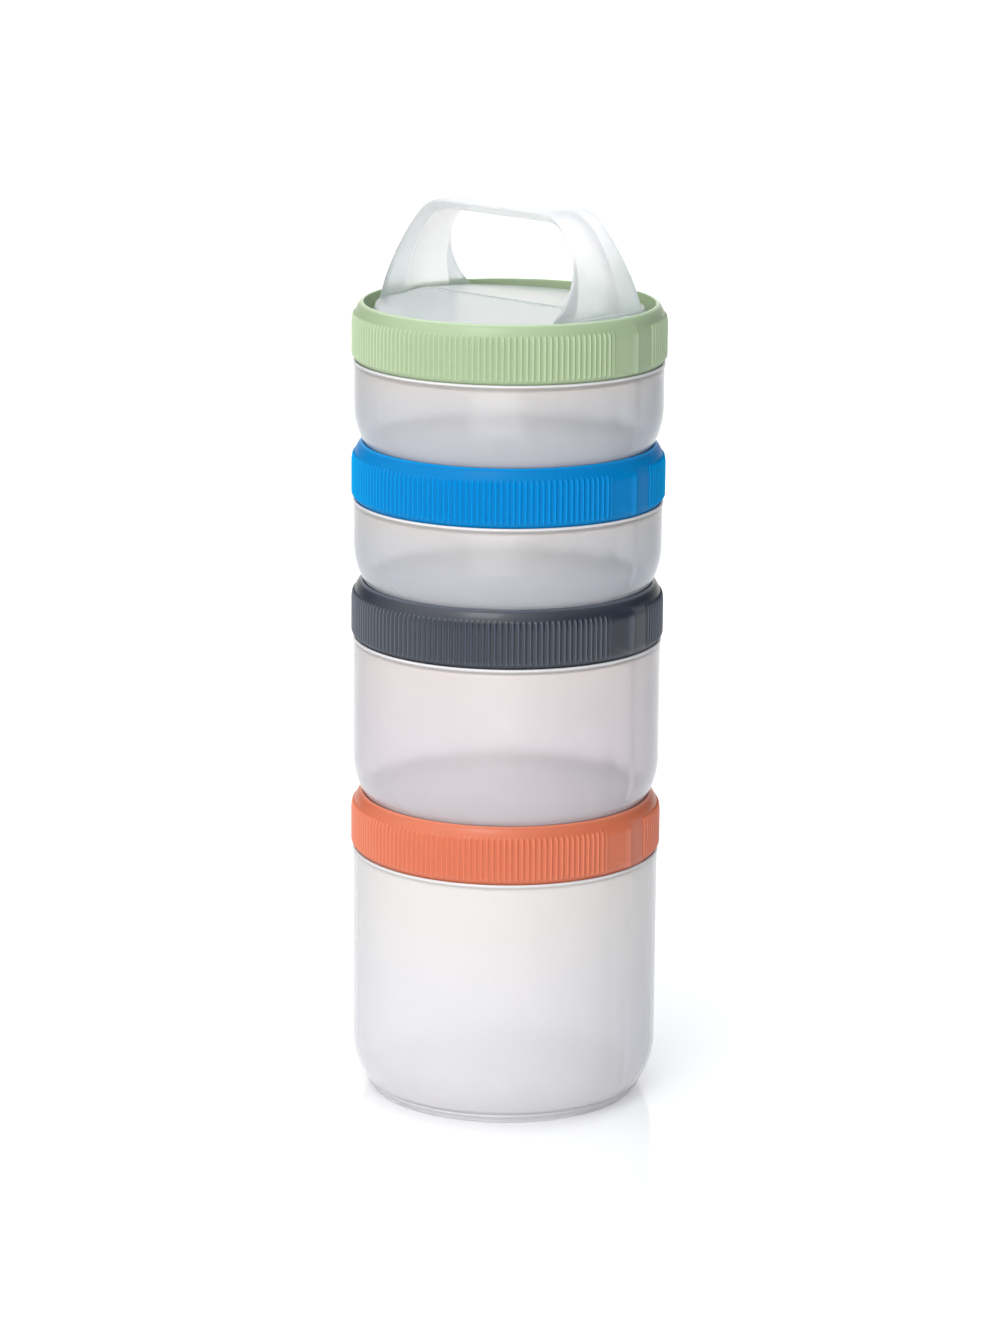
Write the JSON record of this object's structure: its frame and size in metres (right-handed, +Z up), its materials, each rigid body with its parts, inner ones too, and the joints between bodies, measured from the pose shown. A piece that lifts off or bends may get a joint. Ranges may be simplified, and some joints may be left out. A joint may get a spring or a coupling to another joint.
{
  "type": "stackable food container set",
  "caption": "Round translucent food containers that stack and twist-lock, each with a ribbed screw lid, under a carrying handle.",
  "frame": {"origin": "on the ground, at the middle of the large container's foot ring", "axes": "+Z up along the stack's axis, X along the handle's bail, which lines up with the closing step on every lid and container"},
  "size_m": [0.1, 0.1, 0.2902],
  "materials": {
    "frosted_cup": "frosted translucent polypropylene, satin",
    "frosted_handle": "frosted translucent polypropylene, satin",
    "silicone_seal": "translucent white silicone",
    "orange_cap": "fine matt, ribbed grip",
    "grey_cap": "fine matt, dark smoke, ribbed grip",
    "blue_cap": "fine matt, ribbed grip",
    "green_cap": "fine matt, ribbed grip"
  },
  "bodies": {
    "large_container": {"large_container": "frosted_cup"},
    "orange_seal": {"orange_seal": "silicone_seal"},
    "orange_lid": {"orange_lid": "orange_cap"},
    "medium_container": {"medium_container": "frosted_cup"},
    "grey_seal": {"grey_seal": "silicone_seal"},
    "grey_lid": {"grey_lid": "grey_cap"},
    "lower_small_container": {"lower_small_container": "frosted_cup"},
    "blue_seal": {"blue_seal": "silicone_seal"},
    "blue_lid": {"blue_lid": "blue_cap"},
    "upper_small_container": {"upper_small_container": "frosted_cup"},
    "green_seal": {"green_seal": "silicone_seal"},
    "green_lid": {"green_lid": "green_cap"},
    "carry_handle": {"carry_handle": "frosted_handle"}
  },
  "joints": [
    {"name": "orange_lid_lift", "type": "slide", "parent": "large_container", "child": "orange_seal", "axis": [0, 0, 1], "range_m": [0, 0.01]},
    {"name": "orange_lid_twist", "type": "hinge", "parent": "orange_seal", "child": "orange_lid", "pos_m": [0, 0, 0.08085], "axis": [0, 0, 1], "range_deg": [0, 180]},
    {"name": "medium_container_twist", "type": "hinge", "parent": "orange_lid", "child": "medium_container", "pos_m": [0, 0, 0.09415], "axis": [0, 0, 1], "range_deg": [0, 45]},
    {"name": "grey_lid_lift", "type": "slide", "parent": "medium_container", "child": "grey_seal", "axis": [0, 0, 1], "range_m": [0, 0.01]},
    {"name": "grey_lid_twist", "type": "hinge", "parent": "grey_seal", "child": "grey_lid", "pos_m": [0, 0, 0.1507], "axis": [0, 0, 1], "range_deg": [0, 180]},
    {"name": "lower_small_container_twist", "type": "hinge", "parent": "grey_lid", "child": "lower_small_container", "pos_m": [0, 0, 0.164], "axis": [0, 0, 1], "range_deg": [0, 45]},
    {"name": "blue_lid_lift", "type": "slide", "parent": "lower_small_container", "child": "blue_seal", "axis": [0, 0, 1], "range_m": [0, 0.01]},
    {"name": "blue_lid_twist", "type": "hinge", "parent": "blue_seal", "child": "blue_lid", "pos_m": [0, 0, 0.19553], "axis": [0, 0, 1], "range_deg": [0, 180]},
    {"name": "upper_small_container_twist", "type": "hinge", "parent": "blue_lid", "child": "upper_small_container", "pos_m": [0, 0, 0.20883], "axis": [0, 0, 1], "range_deg": [0, 45]},
    {"name": "green_lid_lift", "type": "slide", "parent": "upper_small_container", "child": "green_seal", "axis": [0, 0, 1], "range_m": [0, 0.01]},
    {"name": "green_lid_twist", "type": "hinge", "parent": "green_seal", "child": "green_lid", "pos_m": [0, 0, 0.24036], "axis": [0, 0, 1], "range_deg": [0, 180]},
    {"name": "carry_handle_twist", "type": "hinge", "parent": "green_lid", "child": "carry_handle", "pos_m": [0, 0, 0.25366], "axis": [0, 0, 1], "range_deg": [0, 45]}
  ],
  "couplings": [
    {"joint": "orange_lid_lift", "follows": "orange_lid_twist", "m_per_rad": 0.003183},
    {"joint": "grey_lid_lift", "follows": "grey_lid_twist", "m_per_rad": 0.003183},
    {"joint": "blue_lid_lift", "follows": "blue_lid_twist", "m_per_rad": 0.003183},
    {"joint": "green_lid_lift", "follows": "green_lid_twist", "m_per_rad": 0.003183}
  ]
}
